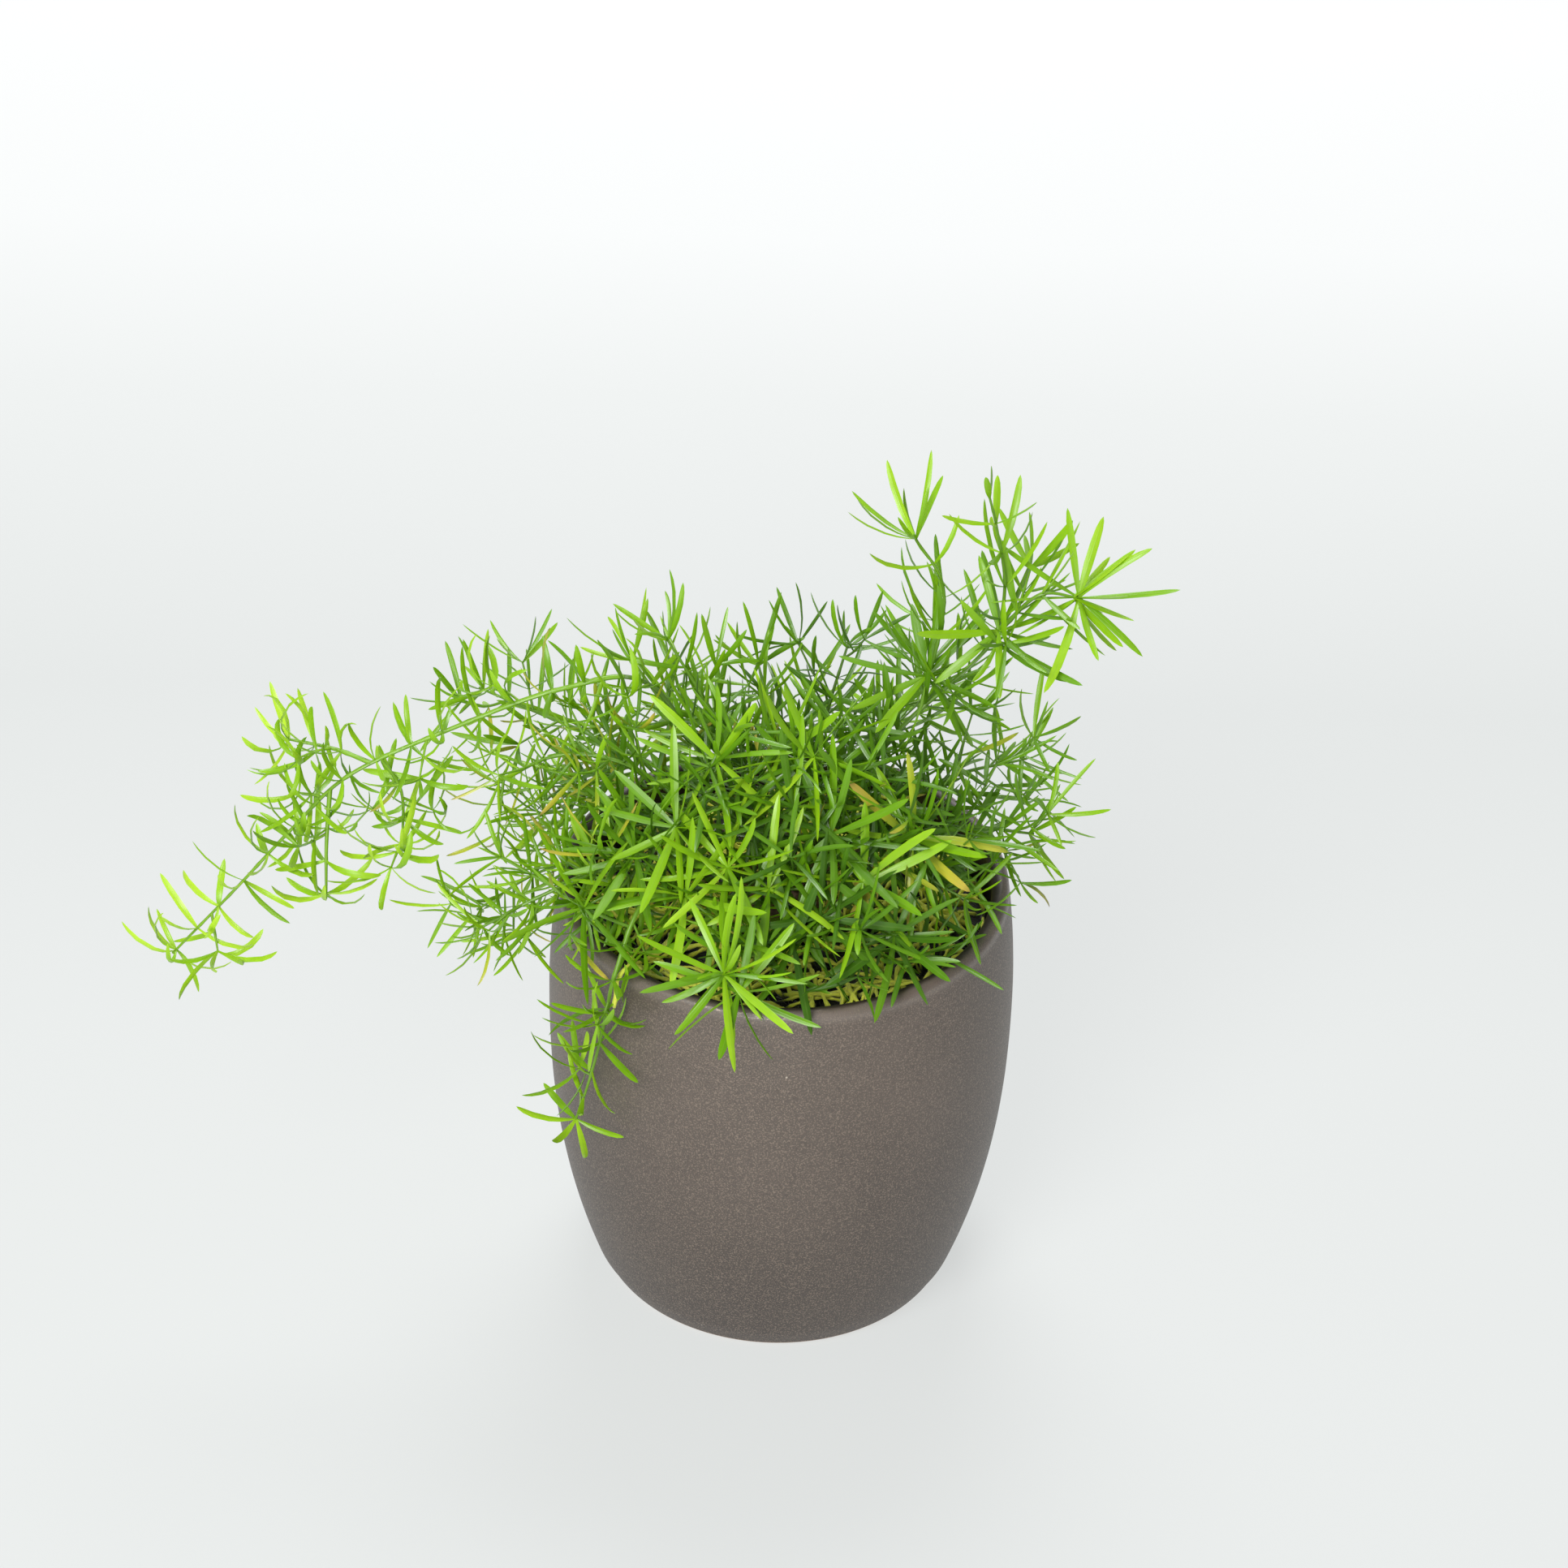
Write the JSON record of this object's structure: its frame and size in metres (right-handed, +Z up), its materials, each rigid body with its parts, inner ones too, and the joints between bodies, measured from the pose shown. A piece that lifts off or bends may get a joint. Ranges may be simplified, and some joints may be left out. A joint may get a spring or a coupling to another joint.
{
  "type": "potted asparagus fern",
  "caption": "Young asparagus fern with arching, upright and trailing needle-leaved fronds in a round speckled ceramic pot topped with moss.",
  "frame": {"origin": "centre of the pot's flat underside", "axes": "+Z up along the pot's axis, -Y towards the viewer of the front, +X to the right of the front"},
  "size_m": [0.279, 0.1603, 0.2585],
  "materials": {
    "pot_ceramic": "matte grey-brown glaze with fine metallic speckle",
    "soil": "loose dark potting soil",
    "woody_crown": "rough bark",
    "moss": "dry stringy yellow-olive moss",
    "stalk": "smooth green to brown wiry stalk",
    "leafy_shoot": "semi-gloss green needles"
  },
  "bodies": {
    "root": {"moss_1": "moss", "moss_2": "moss", "moss_3": "moss", "moss_4": "moss", "moss_5": "moss", "moss_6": "moss", "pot": "pot_ceramic", "potting_soil": "soil", "root_crown": "woody_crown", "shoot_back_left": "leafy_shoot", "shoot_back_low": "leafy_shoot", "shoot_back_right": "leafy_shoot", "shoot_front_centre": "leafy_shoot", "shoot_front_dark": "leafy_shoot", "shoot_front_left": "leafy_shoot", "shoot_front_low": "leafy_shoot", "shoot_front_middle": "leafy_shoot", "shoot_front_right": "leafy_shoot", "shoot_front_rim": "leafy_shoot", "shoot_front_trailing": "leafy_shoot", "shoot_left_arching": "leafy_shoot", "shoot_left_arching_lower": "leafy_shoot", "shoot_left_arching_upper": "leafy_shoot", "shoot_left_low": "leafy_shoot", "shoot_left_middle": "leafy_shoot", "shoot_left_upper": "leafy_shoot", "shoot_right_back": "leafy_shoot", "shoot_right_front": "leafy_shoot", "shoot_right_low": "leafy_shoot", "shoot_right_middle": "leafy_shoot", "shoot_right_tall": "leafy_shoot", "shoot_right_tall_inner": "leafy_shoot", "shoot_right_tall_outer": "leafy_shoot", "shoot_top_centre": "leafy_shoot", "shoot_top_left": "leafy_shoot", "shoot_top_middle": "leafy_shoot", "stalk_back_left": "stalk", "stalk_back_low": "stalk", "stalk_back_right": "stalk", "stalk_front_centre": "stalk", "stalk_front_dark": "stalk", "stalk_front_left": "stalk", "stalk_front_low": "stalk", "stalk_front_middle": "stalk", "stalk_front_right": "stalk", "stalk_front_rim": "stalk", "stalk_front_trailing": "stalk", "stalk_left_arching": "stalk", "stalk_left_low": "stalk", "stalk_left_middle": "stalk", "stalk_left_upper": "stalk", "stalk_right_back": "stalk", "stalk_right_front": "stalk", "stalk_right_low": "stalk", "stalk_right_middle": "stalk", "stalk_right_tall": "stalk", "stalk_top_centre": "stalk", "stalk_top_left": "stalk", "stalk_top_middle": "stalk"}
  },
  "joints": []
}
